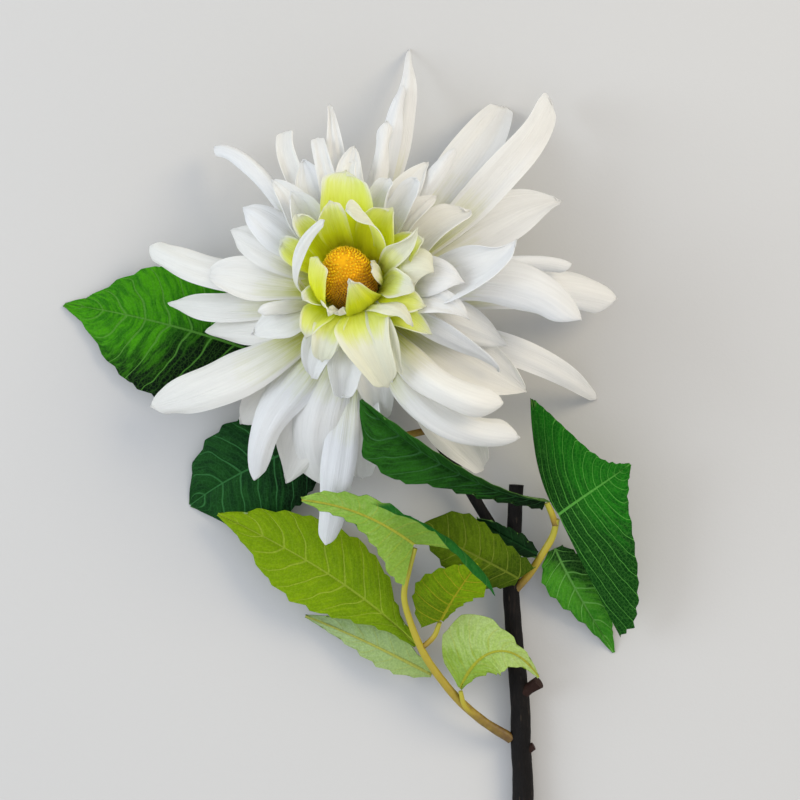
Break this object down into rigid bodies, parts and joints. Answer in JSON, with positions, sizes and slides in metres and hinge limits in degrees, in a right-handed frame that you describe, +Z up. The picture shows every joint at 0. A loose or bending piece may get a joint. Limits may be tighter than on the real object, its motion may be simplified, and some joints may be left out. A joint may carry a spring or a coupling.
{
  "type": "dahlia flower",
  "caption": "Cut dahlia laid down on its stem: a full white bloom with a lime heart and a yellow disc, a woody forked stem and toothed green leaves.",
  "frame": {"origin": "middle of the bounding box on the surface that the flower lies on", "axes": "+Z up from the surface, +Y from the stem's cut end towards the bloom, +X to the right as seen from above with the bloom at the top"},
  "size_m": [0.1968, 0.3531, 0.075],
  "materials": {
    "bark": "rough dark bark",
    "calyx_green": "matt",
    "petal_white": "soft matt, lets light through",
    "petal_lime": "soft matt, lets light through",
    "disc_yellow": "fuzzy matt",
    "leafstalk": "smooth",
    "leaf_green": "satin",
    "leaf_olive": "satin",
    "leaf_young": "satin"
  },
  "bodies": {
    "root": {"stem": "bark", "calyx": "calyx_green", "white_petals": "petal_white", "lime_petals": "petal_lime", "disc": "disc_yellow", "left_leafstalk": "leafstalk", "lower_leafstalk": "leafstalk", "spray_stalk": "leafstalk", "side_leafstalk": "leafstalk", "right_stalk": "leafstalk", "left_leaf": "leaf_green", "lower_leaf": "leaf_green", "right_leaf_broad": "leaf_green", "right_leaf_hanging": "leaf_green", "right_leaf_folded": "leaf_green", "right_leaf_narrow": "leaf_green", "side_leaf": "leaf_olive", "spray_leaf_long": "leaf_young", "spray_leaf_pale": "leaf_young", "spray_leaf_end": "leaf_young", "spray_leaf_olive": "leaf_olive", "spray_leaf_near": "leaf_young"}
  },
  "joints": []
}
